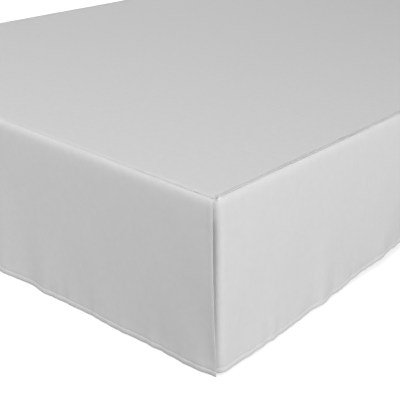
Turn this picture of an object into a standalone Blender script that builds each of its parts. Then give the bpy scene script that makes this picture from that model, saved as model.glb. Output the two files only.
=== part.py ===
"""A tailored bed skirt on a plain box spring and steel bed frame, in metres.

The foot of the bed is at -Y and its head, which has no drop, at +Y. A flat deck cloth covers
the box spring. Three panels hang from its seam: one across the foot and one along each side.
They are separate at the two corners of the foot, where the foot panel stands in front.
"""

import math
from collections import namedtuple

import bmesh
import bpy

# Driving dimensions
WIDTH = 1.524  # across the skirt, face to face
LENGTH = 2.032  # from the foot's face to the head's edge
DROP = 0.381  # from the deck's seam down to the hem
HEM_CLEARANCE = 0.005  # from the floor up to the hem
CLOTH = 0.0014
HEM = 0.0020  # folded cloth, at a hem
HEM_BAND = 0.012
GAP = 0.0003  # between pieces that touch
DECK_TOP = HEM_CLEARANCE + DROP
BED_MIDDLE = 0.0125  # set towards the head, because the foot's hem hangs out

# The box spring, set back from the cloth's outer face
FACE_SETBACK = 0.006
HEAD_SETBACK = 0.004
FOUNDATION_HEIGHT = 0.203
FOUNDATION_CORNER = 0.060
FOUNDATION_EDGE = 0.012
FOUNDATION_TOP = DECK_TOP - CLOTH - GAP
FOUNDATION_BOTTOM = FOUNDATION_TOP - FOUNDATION_HEIGHT

# The bed frame
RAIL_WIDTH = 0.030
RAIL_HEIGHT = 0.038
RAIL_LENGTH = 1.960
RAIL_OFFSET = 0.700  # a side rail's middle from the bed's middle
LEG_WIDTH = 0.028
LEG_STATIONS = (-0.860, 0.0, 0.860)
CAP_RADIUS = 0.022
CAP_TOP_RADIUS = 0.019
CAP_HEIGHT = 0.022
STEEL_EDGE = 0.003

# How the panels turn the corner, at the seam and at the hem
FOOT_LENGTH = 1.522
SIDE_LENGTH = 2.036
FOOT_SPREAD = (0.9935, 1.0080)  # the foot panel is a little wider at its hem
SPREAD_CURVE = 1.6
FOOT_CURL = 0.0018  # how much of each free end turns the corner
FOOT_RADIUS = 0.0045
SIDE_RADIUS = (0.024, 0.018)
LAP_SETBACK = (0.005, 0.014)  # a side panel's end, behind the foot panel's face
LAP = 0.016  # a side panel's cloth hidden behind the foot panel
LAP_DIP = 0.0032  # a side panel's seam passes under the foot panel's
LAP_DIP_REACH = 0.007
LAP_DIP_DEPTH = 0.110
RADIUS_REACH = 0.6  # share of the drop over which the corner sharpens

# The puffed seam, from the deck outwards and down over its shoulder: inset from the face,
# height over the deck, and the share of the crown that lifts it
SeamRow = namedtuple("SeamRow", "inset rise crowned")
SEAM_ROLL = (
    SeamRow(0.0122, -0.0006, 0.0),
    SeamRow(0.0109, 0.0007, 0.5),
    SeamRow(0.0091, 0.0012, 1.0),
    SeamRow(0.0065, 0.0000, 1.0),
    SeamRow(0.0038, -0.0040, 1.0),
    SeamRow(0.0017, -0.0100, 1.0),
    SeamRow(0.0003, -0.0230, 1.0),
)

# Depths below the deck of the rows of points under the seam's roll
HANG_DEPTHS = (0.055, 0.120, 0.185, 0.245, 0.305, 0.362, DROP - HEM_BAND, DROP)

# A fold's middle along the panel from its near end, its half width, how far it stands out at
# the hem, or in where negative, and the share of the drop that it reaches up
Fold = namedtuple("Fold", "along width out reach")
FOOT_FOLDS = (
    Fold(0.055, 0.034, 0.0034, 0.45),
    Fold(0.150, 0.040, -0.0008, 0.40),
    Fold(0.245, 0.050, 0.0010, 0.35),
    Fold(0.410, 0.050, -0.0010, 0.45),
    Fold(0.503, 0.030, 0.0025, 0.40),
    Fold(0.560, 0.030, -0.0010, 0.35),
    Fold(0.660, 0.042, 0.0060, 0.70),
    Fold(0.735, 0.034, -0.0030, 0.60),
    Fold(0.870, 0.055, 0.0040, 0.45),
    Fold(0.985, 0.050, -0.0035, 0.50),
    Fold(1.110, 0.055, 0.0048, 0.60),
    Fold(1.230, 0.045, -0.0028, 0.40),
    Fold(1.345, 0.055, 0.0036, 0.45),
    Fold(1.450, 0.034, -0.0024, 0.40),
)
RIGHT_FOLDS = (
    Fold(0.110, 0.040, 0.0018, 0.35),
    Fold(0.200, 0.060, 0.0028, 0.40),
    Fold(0.285, 0.044, 0.0027, 0.35),
    Fold(0.377, 0.036, 0.0050, 0.55),
    Fold(0.468, 0.040, -0.0006, 0.40),
    Fold(0.548, 0.038, -0.0011, 0.35),
    Fold(0.625, 0.034, 0.0013, 0.30),
    Fold(0.745, 0.052, -0.0080, 0.45),
    Fold(0.862, 0.052, 0.0058, 0.60),
    Fold(0.985, 0.048, -0.0034, 0.40),
    Fold(1.120, 0.062, 0.0050, 0.55),
    Fold(1.268, 0.050, -0.0045, 0.45),
    Fold(1.425, 0.056, 0.0048, 0.50),
    Fold(1.580, 0.044, -0.0030, 0.35),
    Fold(1.715, 0.052, 0.0040, 0.55),
    Fold(1.850, 0.046, -0.0026, 0.40),
    Fold(1.955, 0.036, 0.0030, 0.60),
)
LEFT_FOLDS = (
    Fold(0.165, 0.048, 0.0040, 0.45),
    Fold(0.290, 0.054, -0.0030, 0.40),
    Fold(0.430, 0.050, 0.0056, 0.60),
    Fold(0.575, 0.046, -0.0045, 0.45),
    Fold(0.710, 0.056, 0.0034, 0.40),
    Fold(0.890, 0.060, -0.0060, 0.45),
    Fold(1.030, 0.046, 0.0052, 0.55),
    Fold(1.175, 0.050, -0.0030, 0.35),
    Fold(1.345, 0.058, 0.0044, 0.50),
    Fold(1.500, 0.048, -0.0038, 0.40),
    Fold(1.660, 0.052, 0.0050, 0.60),
    Fold(1.800, 0.044, -0.0024, 0.35),
    Fold(1.930, 0.040, 0.0036, 0.55),
)

# Slow changes along a panel: how far the hem hangs out of the seam's plane, how far it is
# drawn up from the floor, how far the crown lifts the seam's roll off the deck, and how
# puffed the roll is
Station = namedtuple("Station", "along value")
FOOT_LEAN = (Station(0.00, -0.004), Station(0.12, 0.002), Station(0.30, 0.009), Station(0.52, 0.0185),
             Station(0.64, 0.0205), Station(0.95, 0.011), Station(1.52, -0.004))
FOOT_LIFT = (Station(0.00, 0.003), Station(0.10, 0.001), Station(0.35, 0.000), Station(0.70, -0.001),
             Station(1.52, 0.000))
FOOT_CROWN = (Station(0.00, 0.0004), Station(0.15, 0.0004), Station(0.40, 0.0014),
              Station(0.76, 0.0038), Station(1.52, 0.000))
FOOT_PUFF = (Station(0.00, 0.80), Station(0.20, 0.90), Station(0.50, 1.05), Station(0.70, 1.00),
             Station(1.10, 0.95), Station(1.52, 0.80))
RIGHT_LEAN = (Station(0.00, 0.0026), Station(0.15, 0.0028), Station(0.35, -0.0022),
              Station(0.60, -0.0037), Station(1.30, 0.004), Station(2.04, 0.000))
RIGHT_LIFT = (Station(0.00, 0.001), Station(0.18, 0.001), Station(0.30, 0.0005), Station(0.37, 0.0015),
              Station(0.46, 0.002), Station(0.55, 0.007), Station(0.66, 0.012), Station(0.82, 0.010),
              Station(1.30, 0.001), Station(2.04, 0.003))
RIGHT_CROWN = (Station(0.00, 0.000), Station(0.60, 0.000), Station(1.20, 0.002), Station(2.04, 0.000))
RIGHT_PUFF = (Station(0.00, 0.75), Station(0.20, 0.85), Station(0.42, 0.75), Station(1.00, 1.15),
              Station(1.50, 0.95), Station(2.04, 1.00))
LEFT_LEAN = (Station(0.00, 0.0040), Station(0.70, -0.0040), Station(1.40, 0.005), Station(2.04, 0.000))
LEFT_LIFT = (Station(0.00, 0.000), Station(0.80, 0.004), Station(1.50, 0.001), Station(2.04, 0.002))
LEFT_CROWN = (Station(0.00, 0.000), Station(0.50, 0.002), Station(1.10, 0.000),
              Station(1.60, 0.0015), Station(2.04, 0.000))
LEFT_PUFF = (Station(0.00, 0.80), Station(0.35, 1.20), Station(0.90, 0.95), Station(1.45, 1.25),
             Station(2.04, 1.00))

# The deck's rows of points, drawn in from the seam, and the puckers beside it
DeckRow = namedtuple("DeckRow", "extra pucker")
DECK_ROWS = (DeckRow(GAP, 0.0), DeckRow(0.0050, 0.0010), DeckRow(0.0100, 0.0))
PUCKER_PITCH = 0.110
SEAM_INSET = 0.012  # the seam's usual distance in from the panels' faces
DRAWN_REACH = 0.040

# Spacing of a panel's columns of points, and of the other pieces' facets
CORNER_STEP = 0.0055
CORNER_COLUMNS = 8
CLOSEST_COLUMNS = 0.014
WIDEST_COLUMNS = 0.062
CORNER_SEGMENTS = 6
EDGE_SEGMENTS = 3
CAP_SEGMENTS = 16
SHARP_ANGLE = 50.0
ROUNDING = 0.0001  # slack in a comparison of places


def clear_scene():
    for obj in list(bpy.data.objects):
        bpy.data.objects.remove(obj)


def smooth(share):
    """0 up to 0, 1 from 1, and an even curve between."""
    share = min(max(share, 0.0), 1.0)
    return share * share * (3.0 - 2.0 * share)


def along_table(table, along):
    """The table's value at a place along the panel, curving evenly from row to row."""
    for before, after in zip(table, table[1:]):
        if along <= after.along:
            share = smooth((along - before.along) / (after.along - before.along))
            return before.value + share * (after.value - before.value)
    return table[-1].value


def seam_to_hem(pair, drop_share):
    return pair[0] + (pair[1] - pair[0]) * smooth(drop_share / RADIUS_REACH)


def folds_out(folds, along, drop_share):
    """How far the folds together stand out of the panel's plane."""
    total = 0.0
    for fold in folds:
        height = smooth((drop_share - 1.0 + fold.reach) / fold.reach)
        total += fold.out * height * math.exp(-(((along - fold.along) / fold.width) ** 2))
    return total


def turned(distance, run, radius, out):
    """Forward and inward reach of a path that goes straight for run, then turns the corner."""
    turn = max(0.0, distance - run) / radius
    bend = max(radius + out, 0.1 * radius)
    forward = min(distance, run) + bend * math.sin(turn)
    inward = bend * (1.0 - math.cos(turn)) - out
    return forward, inward


def foot_place(along, inset, drop_share):
    """Plan place of a point on the foot panel's outer face."""
    out = along_table(FOOT_LEAN, along) * drop_share ** 2
    out += folds_out(FOOT_FOLDS, along, drop_share) - inset
    spread = FOOT_SPREAD[0] + (FOOT_SPREAD[1] - FOOT_SPREAD[0]) * drop_share ** SPREAD_CURVE
    from_middle = (FOOT_LENGTH / 2 - along) * spread
    run = FOOT_LENGTH / 2 * spread - FOOT_CURL
    forward, inward = turned(abs(from_middle), run, FOOT_RADIUS, out)
    return math.copysign(forward, from_middle), -LENGTH / 2 + inward


def side_place(lean, folds, sign):
    """A function giving the plan place of a point on one side panel's outer face."""

    def place(along, inset, drop_share):
        radius = seam_to_hem(SIDE_RADIUS, drop_share)
        setback = seam_to_hem(LAP_SETBACK, drop_share)
        out = along_table(lean, along) * drop_share ** 2
        out += folds_out(folds, along, drop_share) - inset
        run = LENGTH - setback - radius
        forward, inward = turned(SIDE_LENGTH - along, run, radius, out)
        return sign * (WIDTH / 2 - inward), LENGTH / 2 - forward

    return place


def columns(length, folds, both_ends_turn):
    """Places of a panel's columns: close where it turns, and at each fold's crest and flanks."""
    turning = [HEM_BAND * share for share in (0.0, 0.5, 1.0)]
    turning += [HEM_BAND + CORNER_STEP * step for step in range(1, CORNER_COLUMNS + 1)]
    placed = turning + [length - HEM_BAND, length]
    if both_ends_turn:
        placed = turning + [length - place for place in turning]
    for fold in folds:
        for place in (fold.along, fold.along - fold.width, fold.along + fold.width):
            if min(abs(place - other) for other in placed) > CLOSEST_COLUMNS:
                placed.append(place)
    placed.sort()
    filled = [placed[0]]
    for place in placed[1:]:
        parts = math.ceil((place - filled[-1]) / WIDEST_COLUMNS)
        start = filled[-1]
        filled.extend(start + (place - start) * part / parts for part in range(1, parts + 1))
    return filled


def seam_inset(puff, along):
    return SEAM_ROLL[0].inset * along_table(puff, along)


def material(name, color, roughness, metallic=0.0):
    made = bpy.data.materials.new(name)
    made.use_nodes = True
    shader = made.node_tree.nodes["Principled BSDF"]
    shader.inputs["Base Color"].default_value = (*color, 1.0)
    shader.inputs["Roughness"].default_value = roughness
    shader.inputs["Metallic"].default_value = metallic
    return made


def make_object(name, bm, made, location=(0.0, 0.0, 0.0)):
    """Turns the bmesh into a named object of the bed, with its own material, shaded smooth."""
    mesh = bpy.data.meshes.new(name)
    bm.to_mesh(mesh)
    bm.free()
    mesh.materials.append(made)
    mesh.shade_smooth()
    mesh.set_sharp_from_angle(angle=math.radians(SHARP_ANGLE))
    obj = bpy.data.objects.new(name, mesh)
    obj.location = location
    obj.parent = bpy.data.objects["bed"]
    bpy.context.scene.collection.objects.link(obj)
    return obj


def thicken(obj, hem_indices):
    """Gives an outer face its cloth, thicker at the hems."""
    group = obj.vertex_groups.new(name="hem")
    group.add(list(range(len(obj.data.vertices))), CLOTH / HEM, "REPLACE")
    group.add(hem_indices, 1.0, "REPLACE")
    cloth = obj.modifiers.new("Cloth", "SOLIDIFY")
    cloth.thickness = HEM
    cloth.offset = -1.0
    cloth.use_even_offset = True
    cloth.vertex_group = group.name


def make_panel(name, length, stations, place, tables, dip, flip, made):
    """One hanging panel: its outer face as a grid of points, thickened inwards."""
    lift, crown, puff = tables
    bm = bmesh.new()
    grid = []
    hem_points = []
    for along in stations:
        scale = along_table(puff, along)
        rows = [(row.inset * scale, -row.rise * scale, row.crowned) for row in SEAM_ROLL]
        rows += [(0.0, depth, 1.0) for depth in HANG_DEPTHS]
        lapped = 1.0 - smooth((along - LAP) / LAP_DIP_REACH)
        beside_end = min(along, length - along) < HEM_BAND + ROUNDING
        column = []
        for inset, depth, crowned in rows:
            drop_share = max(depth, 0.0) / DROP
            x, y = place(along, inset, drop_share)
            z = DECK_TOP - depth + along_table(lift, along) * drop_share
            z += along_table(crown, along) * crowned * (1.0 - drop_share) ** 2
            z -= dip * lapped * (1.0 - smooth(depth / LAP_DIP_DEPTH))
            vert = bm.verts.new((x, y, z))
            column.append(vert)
            if beside_end or depth > DROP - HEM_BAND - ROUNDING:
                hem_points.append(vert)
        grid.append(column)
    bm.verts.index_update()
    hem_indices = [vert.index for vert in hem_points]
    for near, far in zip(grid, grid[1:]):
        for upper in range(len(near) - 1):
            corners = [near[upper], near[upper + 1], far[upper + 1], far[upper]]
            bm.faces.new(reversed(corners) if flip else corners)
    thicken(make_object(name, bm, made), hem_indices)


def drawn_in(place, edge, extra):
    """A place moved by extra towards the deck's middle at an edge, and less further in."""
    share = min(max(1.0 - (edge - abs(place)) / DRAWN_REACH, 0.0), 1.0)
    return place - math.copysign(extra * share, place)


def deck_ring(panels, extra, pucker):
    """The deck's outline, drawn in from the panels' seams by extra and puckered upwards."""
    foot, left, right = panels
    ring = []
    for place, puff, stations in (foot, left, (right[0], right[1], right[2][::-1])):
        for along in stations:
            if place is not foot[0] and along < LAP:
                continue
            x, y = place(along, seam_inset(puff, along), 0.0)
            x = drawn_in(x, WIDTH / 2 - SEAM_INSET, extra)
            y = drawn_in(y, LENGTH / 2 - SEAM_INSET, extra)
            wave = 0.5 + 0.5 * math.sin(math.tau * along / PUCKER_PITCH)
            ring.append((x, y, DECK_TOP + pucker * wave))
    return ring


def make_deck(panels, made):
    bm = bmesh.new()
    rings = []
    for row in DECK_ROWS:
        rings.append([bm.verts.new(point) for point in deck_ring(panels, row.extra, row.pucker)])
    for outer, inner in zip(rings, rings[1:]):
        for index in range(len(outer)):
            after = (index + 1) % len(outer)
            bm.faces.new((outer[after], outer[index], inner[index], inner[after]))
    bm.faces.new(reversed(rings[-1]))
    thicken(make_object("deck", bm, made), [])


def make_foundation(made):
    """The box spring: a block with rounded upright corners and softened top and bottom edges."""
    bm = bmesh.new()
    bmesh.ops.create_cube(bm, size=1.0)
    length = LENGTH - FACE_SETBACK - HEAD_SETBACK
    bmesh.ops.scale(bm, vec=(WIDTH - 2 * FACE_SETBACK, length, FOUNDATION_HEIGHT), verts=bm.verts)
    upright = [edge for edge in bm.edges if abs(edge.verts[0].co.z - edge.verts[1].co.z) > GAP]
    bmesh.ops.bevel(bm, geom=upright, offset=FOUNDATION_CORNER, segments=CORNER_SEGMENTS,
                    profile=0.5, affect="EDGES")
    rims = [edge for edge in bm.edges if abs(edge.verts[0].co.z - edge.verts[1].co.z) < GAP]
    bmesh.ops.bevel(bm, geom=rims, offset=FOUNDATION_EDGE, segments=EDGE_SEGMENTS,
                    profile=0.5, affect="EDGES")
    middle = (FACE_SETBACK - HEAD_SETBACK) / 2
    make_object("foundation", bm, made, (0.0, middle, FOUNDATION_BOTTOM + FOUNDATION_HEIGHT / 2))


def make_bar(name, size, location, made):
    """A closed steel tube with softened edges."""
    bm = bmesh.new()
    bmesh.ops.create_cube(bm, size=1.0)
    bmesh.ops.scale(bm, vec=size, verts=bm.verts)
    bmesh.ops.bevel(bm, geom=bm.edges[:], offset=STEEL_EDGE, segments=1, profile=0.5,
                    affect="EDGES")
    make_object(name, bm, made, location)


def make_frame(steel):
    """Two side rails with three cross rails between them, just under the box spring."""
    height = FOUNDATION_BOTTOM - GAP - RAIL_HEIGHT / 2
    for side, sign in (("right", 1), ("left", -1)):
        size = (RAIL_WIDTH, RAIL_LENGTH, RAIL_HEIGHT)
        make_bar("frame_rail_" + side, size, (sign * RAIL_OFFSET, 0.0, height), steel)
    span = 2 * (RAIL_OFFSET - RAIL_WIDTH / 2 - GAP)
    for number, station in enumerate(LEG_STATIONS, 1):
        size = (span, RAIL_WIDTH, RAIL_HEIGHT)
        make_bar(f"frame_cross_{number}", size, (0.0, station, height), steel)


def make_legs(steel, plastic):
    """A leg under each rail at each cross rail, standing on a flat cap."""
    top = FOUNDATION_BOTTOM - 2 * GAP - RAIL_HEIGHT
    bottom = CAP_HEIGHT + GAP
    places = [(sign * RAIL_OFFSET, station) for sign in (1, -1) for station in LEG_STATIONS]
    for number, (x, y) in enumerate(places, 1):
        size = (LEG_WIDTH, LEG_WIDTH, top - bottom)
        make_bar(f"leg_{number}", size, (x, y, (top + bottom) / 2), steel)
        bm = bmesh.new()
        bmesh.ops.create_cone(bm, cap_ends=True, segments=CAP_SEGMENTS, radius1=CAP_RADIUS,
                              radius2=CAP_TOP_RADIUS, depth=CAP_HEIGHT)
        make_object(f"foot_cap_{number}", bm, plastic, (x, y, CAP_HEIGHT / 2))


def main():
    clear_scene()
    bed = bpy.data.objects.new("bed", None)
    bed.location = (0.0, BED_MIDDLE, 0.0)
    bpy.context.scene.collection.objects.link(bed)
    cloth = material("skirt cloth", (0.78, 0.78, 0.79), 0.85)
    ticking = material("box spring ticking", (0.72, 0.71, 0.68), 0.90)
    steel = material("painted steel", (0.10, 0.10, 0.11), 0.45)
    plastic = material("cap plastic", (0.05, 0.05, 0.05), 0.60)

    right_place = side_place(RIGHT_LEAN, RIGHT_FOLDS, 1.0)
    left_place = side_place(LEFT_LEAN, LEFT_FOLDS, -1.0)
    foot_stations = columns(FOOT_LENGTH, FOOT_FOLDS, True)
    right_stations = columns(SIDE_LENGTH, RIGHT_FOLDS, False)
    left_stations = columns(SIDE_LENGTH, LEFT_FOLDS, False)

    make_panel("foot_panel", FOOT_LENGTH, foot_stations, foot_place, (FOOT_LIFT, FOOT_CROWN, FOOT_PUFF),
               0.0, True, cloth)
    make_panel("side_panel_right", SIDE_LENGTH, right_stations, right_place,
               (RIGHT_LIFT, RIGHT_CROWN, RIGHT_PUFF), LAP_DIP, False, cloth)
    make_panel("side_panel_left", SIDE_LENGTH, left_stations, left_place,
               (LEFT_LIFT, LEFT_CROWN, LEFT_PUFF), LAP_DIP, True, cloth)
    make_deck(((foot_place, FOOT_PUFF, foot_stations), (left_place, LEFT_PUFF, left_stations),
               (right_place, RIGHT_PUFF, right_stations)), cloth)
    make_foundation(ticking)
    make_frame(steel)
    make_legs(steel, plastic)


main()
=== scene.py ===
import math
from collections import namedtuple

import bpy
import numpy as np
from mathutils.geometry import delaunay_2d_cdt
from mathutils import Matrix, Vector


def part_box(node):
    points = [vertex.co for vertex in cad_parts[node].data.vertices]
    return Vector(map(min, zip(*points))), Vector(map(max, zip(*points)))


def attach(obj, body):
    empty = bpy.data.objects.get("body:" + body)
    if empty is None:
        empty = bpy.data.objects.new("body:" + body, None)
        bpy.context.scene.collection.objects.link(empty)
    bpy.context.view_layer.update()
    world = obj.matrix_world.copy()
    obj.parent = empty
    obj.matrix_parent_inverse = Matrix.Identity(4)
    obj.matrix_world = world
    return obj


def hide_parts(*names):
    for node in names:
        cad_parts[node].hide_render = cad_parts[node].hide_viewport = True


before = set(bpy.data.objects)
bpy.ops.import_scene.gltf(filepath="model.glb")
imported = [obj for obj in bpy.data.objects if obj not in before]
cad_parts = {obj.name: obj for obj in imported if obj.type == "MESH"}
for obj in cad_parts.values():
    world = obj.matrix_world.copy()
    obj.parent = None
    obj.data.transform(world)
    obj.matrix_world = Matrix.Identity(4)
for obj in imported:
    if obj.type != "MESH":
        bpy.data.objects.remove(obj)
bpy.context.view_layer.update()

# The bed frame: two side rails, three cross rails and six legs of square steel tube, bolted
# together and powder coated in satin black. Its tubes are plain, so only the finish is made.
POWDER_BLACK = (0.040, 0.040, 0.044)
ORANGE_PEEL = 0.00006  # height of the powder's ripple


def new_material(name):
    """A material with its node tree and its Principled shader."""
    made = bpy.data.materials.new(name)
    made.use_nodes = True
    return made, made.node_tree, made.node_tree.nodes["Principled BSDF"]


def add_node(tree, kind, operation=None, **inputs):
    """A node of that kind, with its named inputs set."""
    node = tree.nodes.new(kind)
    if operation:
        node.operation = operation
    for name, value in inputs.items():
        node.inputs[name.replace("_", " ")].default_value = value
    return node


def ranged(tree, source, low, high):
    """The 0 to 1 source spread between two values."""
    spread = add_node(tree, "ShaderNodeMapRange", To_Min=low, To_Max=high)
    tree.links.new(source, spread.inputs["Value"])
    return spread.outputs["Result"]


def noise_on(tree, place, **inputs):
    """A noise pattern over the places on a surface."""
    noise = add_node(tree, "ShaderNodeTexNoise", **inputs)
    tree.links.new(place, noise.inputs["Vector"])
    return noise.outputs["Fac"]


def raised(tree, shader, heights):
    """Adds each height to the surface as a bump: (source, metres from low to high)."""
    normal = None
    for source, metres in heights:
        bump = add_node(tree, "ShaderNodeBump", Strength=1.0, Distance=metres)
        tree.links.new(source, bump.inputs["Height"])
        if normal:
            tree.links.new(normal, bump.inputs["Normal"])
        normal = bump.outputs["Normal"]
    tree.links.new(normal, shader.inputs["Normal"])


powder_coat, tree, shader = new_material("powder coated steel")
shader.inputs["Base Color"].default_value = (*POWDER_BLACK, 1.0)
shader.inputs["Coat Weight"].default_value = 0.12
place = tree.nodes.new("ShaderNodeTexCoord").outputs["Object"]
handling = noise_on(tree, place, Scale=16.0, Detail=6.0, Roughness=0.65)
tree.links.new(ranged(tree, handling, 0.36, 0.58), shader.inputs["Roughness"])
raised(tree, shader, [(noise_on(tree, place, Scale=850.0, Detail=2.0), ORANGE_PEEL)])
for name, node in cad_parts.items():
    if name.startswith(("frame_", "leg_")):
        node.material_slots[0].material = powder_coat


# The legs' caps: moulded plastic cups pushed over the tubes, dull and a little scuffed where
# they are dragged over the floor.
CAP_BLACK = (0.024, 0.024, 0.026)
SCUFF_DEPTH = 0.00012

cap_plastic, tree, shader = new_material("moulded cap plastic")
shader.inputs["Base Color"].default_value = (*CAP_BLACK, 1.0)
place = tree.nodes.new("ShaderNodeTexCoord").outputs["Object"]
scuffs = noise_on(tree, place, Scale=170.0, Detail=6.0, Roughness=0.7)
tree.links.new(ranged(tree, scuffs, 0.50, 0.78), shader.inputs["Roughness"])
raised(tree, shader, [(scuffs, SCUFF_DEPTH)])
for name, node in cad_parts.items():
    if name.startswith("foot_cap_"):
        node.material_slots[0].material = cap_plastic


# The box spring: a wooden frame of springs under a cover of woven ticking. Its side band is
# pulled tight between a top and a bottom cover, and bulges a little.
BASE_LOW, BASE_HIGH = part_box("foundation")
BASE_CORNER = 0.060
BASE_EDGE = 0.012
BASE_CORNER_STEPS = 14
BASE_EDGE_STEPS = 5
BASE_SPACING = 0.024
BAND_BULGE = 0.0010
BAND_WAVE = 0.0004
BAND_WAVE_PITCH = 0.17
BAND_ROWS = 14
COVER_STEP = 0.045  # in from the edge, where a flat cover starts
COVER_TIGHT = 0.022  # in from the edge, how far a cover is pulled tight
COVER_SAG = 0.0008
TICKING = (0.70, 0.69, 0.66)
TICKING_PITCH = 0.0012
HERRINGBONE_HEIGHT = 0.00004
SLUB_HEIGHT = 0.0004


def smooth(share):
    """0 up to 0, 1 from 1, and an even curve between."""
    share = np.clip(share, 0.0, 1.0)
    return share * share * (3.0 - 2.0 * share)


def uneven(seed, place, pitch):
    """Smooth random values between -1 and 1 along a line, with knots a pitch apart."""
    knots = np.random.default_rng(seed).uniform(-1.0, 1.0, 4096)
    step = np.asarray(place) / pitch
    low = np.floor(step).astype(int)
    share = smooth(step - low)
    return knots[low] * (1.0 - share) + knots[low + 1] * share


def rounded_outline(low, high, corner, spacing):
    """Plan points round a rectangle with round corners, and the way out at each."""
    points, ways = [], []
    middle, reach = (low + high) / 2, (high - low) / 2
    for quarter in range(4):
        start = math.tau * quarter / 4
        centre = np.array([reach.x - corner, reach.y - corner])
        centre *= [(1, 1), (-1, 1), (-1, -1), (1, -1)][quarter]
        for step in range(BASE_CORNER_STEPS + 1):
            angle = start + math.tau / 4 * step / BASE_CORNER_STEPS
            ways.append(np.array([math.cos(angle), math.sin(angle)]))
            points.append(centre + corner * ways[-1] + [middle.x, middle.y])
        straight = 2 * (reach.x - corner) if quarter in (0, 2) else 2 * (reach.y - corner)
        count = round(straight / spacing)
        along = np.array([-math.sin(start + math.tau / 4), math.cos(start + math.tau / 4)])
        for step in range(1, count):
            points.append(points[-1] + along * straight / count)
            ways.append(ways[-1])
    return np.array(points), np.array(ways)


def mesh_object(name, points, faces, material):
    """A smoothly shaded piece at the origin."""
    mesh = bpy.data.meshes.new(name)
    mesh.from_pydata(np.asarray(points).tolist(), [], faces)
    mesh.shade_smooth()
    mesh.materials.append(material)
    obj = bpy.data.objects.new(name, mesh)
    bpy.context.scene.collection.objects.link(obj)
    return obj


def ring_faces(rings, around):
    """Quads between closed rings of points, each ring with the same number round it."""
    faces = []
    for ring in range(rings - 1):
        for index in range(around):
            after = (index + 1) % around
            lower, upper = ring * around, (ring + 1) * around
            faces.append((lower + index, lower + after, upper + after, upper + index))
    return faces


def thread_waves(tree, source, axes, pitch):
    """Waves that rise and fall once a pitch along each named axis of the source."""
    parts = tree.nodes.new("ShaderNodeSeparateXYZ")
    tree.links.new(source, parts.inputs["Vector"])
    waves = []
    for axis in axes:
        count = add_node(tree, "ShaderNodeMath", "MULTIPLY")
        count.inputs[1].default_value = math.tau / pitch
        tree.links.new(parts.outputs[axis], count.inputs[0])
        wave = add_node(tree, "ShaderNodeMath", "SINE")
        tree.links.new(count.outputs[0], wave.inputs[0])
        waves.append(wave.outputs[0])
    return waves


def two_toned(tree, shader, source, dark, light, reach=(0.0, 1.0)):
    """Colours the surface from dark to light as the source rises through its reach."""
    tone = tree.nodes.new("ShaderNodeValToRGB")
    for element, place, colour in zip(tone.color_ramp.elements, reach, (dark, light)):
        element.position = place
        element.color = (*colour, 1.0)
    tree.links.new(source, tone.inputs["Fac"])
    tree.links.new(tone.outputs["Color"], shader.inputs["Base Color"])


def shade_of(colour, share):
    """A colour made darker or lighter."""
    return tuple(share * part for part in colour)


ticking, tree, shader = new_material("woven ticking")
shader.inputs["Roughness"].default_value = 0.88
shader.inputs["Specular IOR Level"].default_value = 0.3
shader.inputs["Sheen Weight"].default_value = 0.10
place = tree.nodes.new("ShaderNodeTexCoord").outputs["Object"]
herringbone, *crossed = thread_waves(tree, place, "XYZ", TICKING_PITCH)
for thread in crossed:
    crossing = add_node(tree, "ShaderNodeMath", "ADD")
    tree.links.new(herringbone, crossing.inputs[0])
    tree.links.new(thread, crossing.inputs[1])
    herringbone = crossing.outputs[0]
slubs = noise_on(tree, place, Scale=60.0, Detail=5.0, Roughness=0.6)
two_toned(tree, shader, slubs, shade_of(TICKING, 0.90), shade_of(TICKING, 1.06), (0.25, 0.75))
raised(tree, shader, [(herringbone, HERRINGBONE_HEIGHT), (slubs, SLUB_HEIGHT)])

outline, ways = rounded_outline(BASE_LOW, BASE_HIGH, BASE_CORNER, BASE_SPACING)
band_height = BASE_HIGH.z - BASE_LOW.z
run = np.cumsum(np.linalg.norm(np.roll(outline, -1, axis=0) - outline, axis=1))
cover = [(COVER_STEP, COVER_SAG), (COVER_TIGHT, 0.0)]
for step in range(BASE_EDGE_STEPS + 1):
    angle = math.tau / 4 * step / BASE_EDGE_STEPS
    cover.append((BASE_EDGE * (1 - math.sin(angle)), BASE_EDGE * (1 - math.cos(angle))))
band = [(0.0, BASE_EDGE + (band_height - 2 * BASE_EDGE) * step / BAND_ROWS)
        for step in range(1, BAND_ROWS)]
profile = cover + band + [(inset, band_height - height) for inset, height in reversed(cover)]
rings = []
for number, (inset, height) in enumerate(profile):
    share = math.sin(math.pi * height / band_height)
    wave = 1.0 + uneven(31 + number // 3, run, BAND_WAVE_PITCH)
    pull = BAND_BULGE * (1.0 - share) + BAND_WAVE * share * wave
    plan = outline - ways * (inset + pull)[:, None]
    rings.append(np.column_stack([plan, np.full(len(plan), BASE_LOW.z + height)]))
around = len(outline)
faces = ring_faces(len(rings), around)
faces.append(tuple(reversed(range(around))))
faces.append(tuple((len(rings) - 1) * around + index for index in range(around)))
box_spring = mesh_object("box_spring", np.concatenate(rings), faces, ticking)
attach(box_spring, "root")
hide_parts("foundation")


# The box spring's edge tapes: flat woven tape folded over the joint between the side band
# and each cover, and sewn through.
TAPE_HALF_WIDTH = 0.0055
TAPE_HALF_THICKNESS = 0.0018
TAPE_SIDES = 10
TAPE_RIB = 0.0020
TAPE_RIB_HEIGHT = 0.0002
# The ribs' two colours are painted shade in the grooves and a painted highlight on the crests
TAPE_GROOVE_SHADE = (0.50, 0.49, 0.47)
TAPE_CREST_HIGHLIGHT = (0.64, 0.63, 0.60)
TAPE_INSET = 0.0040
TAPE_LEVEL = 0.0045  # in from the top or bottom of the box spring

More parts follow.
